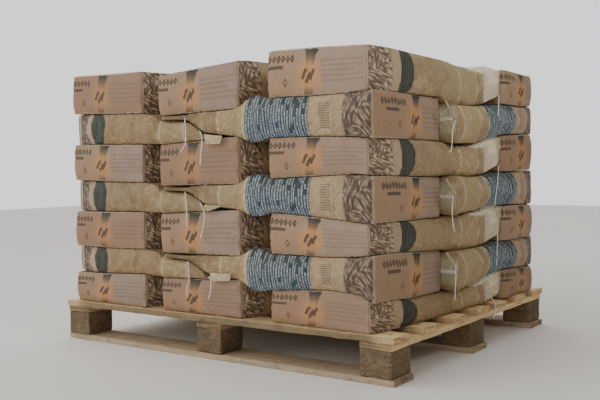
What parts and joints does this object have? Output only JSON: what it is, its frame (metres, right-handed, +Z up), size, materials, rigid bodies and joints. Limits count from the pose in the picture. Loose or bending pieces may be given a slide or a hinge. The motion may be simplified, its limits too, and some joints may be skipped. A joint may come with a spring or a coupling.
{
  "type": "pallet of sacks",
  "caption": "Filled paper sacks in crossed layers on a flat wooden pallet with runners, blocks and open fork entries on every side.",
  "frame": {"origin": "on the floor, under the middle of the pallet", "axes": "+X along the pallet's long side to the right, +Y into its depth away from the front, +Z up"},
  "size_m": [1.2, 1.0008, 0.8322],
  "materials": {
    "kraft_paper_sack": "matt printed kraft paper, creased over its fill",
    "softwood_board": "rough sawn, slightly greyed and scuffed",
    "chipwood_block": "pressed wood chips, coarse and speckled",
    "sewing_thread": "twisted cotton thread, matt"
  },
  "bodies": {
    "root": {"runner_board_front": "softwood_board", "runner_board_middle": "softwood_board", "runner_board_back": "softwood_board", "block_front_left": "chipwood_block", "block_front_middle": "chipwood_block", "block_front_right": "chipwood_block", "block_middle_left": "chipwood_block", "block_middle_middle": "chipwood_block", "block_middle_right": "chipwood_block", "block_back_left": "chipwood_block", "block_back_middle": "chipwood_block", "block_back_right": "chipwood_block", "stringer_board_left": "softwood_board", "stringer_board_middle": "softwood_board", "stringer_board_right": "softwood_board", "deck_board_1": "softwood_board", "deck_board_2": "softwood_board", "deck_board_3": "softwood_board", "deck_board_4": "softwood_board", "deck_board_5": "softwood_board", "deck_board_6": "softwood_board", "deck_board_7": "softwood_board", "sack_1_front_left": "kraft_paper_sack", "sack_1_front_middle": "kraft_paper_sack", "sack_1_front_right": "kraft_paper_sack", "sack_1_back_left": "kraft_paper_sack", "sack_1_back_right": "kraft_paper_sack", "sack_2_back_right": "kraft_paper_sack", "sack_2_back_middle": "kraft_paper_sack", "sack_2_back_left": "kraft_paper_sack", "sack_2_front_right": "kraft_paper_sack", "sack_2_front_left": "kraft_paper_sack", "sack_3_front_left": "kraft_paper_sack", "sack_3_front_middle": "kraft_paper_sack", "sack_3_front_right": "kraft_paper_sack", "sack_3_back_left": "kraft_paper_sack", "sack_3_back_right": "kraft_paper_sack", "sack_4_back_right": "kraft_paper_sack", "sack_4_back_middle": "kraft_paper_sack", "sack_4_back_left": "kraft_paper_sack", "sack_4_front_right": "kraft_paper_sack", "sack_4_front_left": "kraft_paper_sack", "sack_5_front_left": "kraft_paper_sack", "sack_5_front_middle": "kraft_paper_sack", "sack_5_front_right": "kraft_paper_sack", "sack_5_back_left": "kraft_paper_sack", "sack_5_back_right": "kraft_paper_sack", "sack_6_back_right": "kraft_paper_sack", "sack_6_back_middle": "kraft_paper_sack", "sack_6_back_left": "kraft_paper_sack", "sack_6_front_right": "kraft_paper_sack", "sack_6_front_left": "kraft_paper_sack", "sack_7_front_left": "kraft_paper_sack", "sack_7_front_middle": "kraft_paper_sack", "sack_7_front_right": "kraft_paper_sack", "sack_7_back_left": "kraft_paper_sack", "sack_7_back_right": "kraft_paper_sack"}
  },
  "joints": []
}
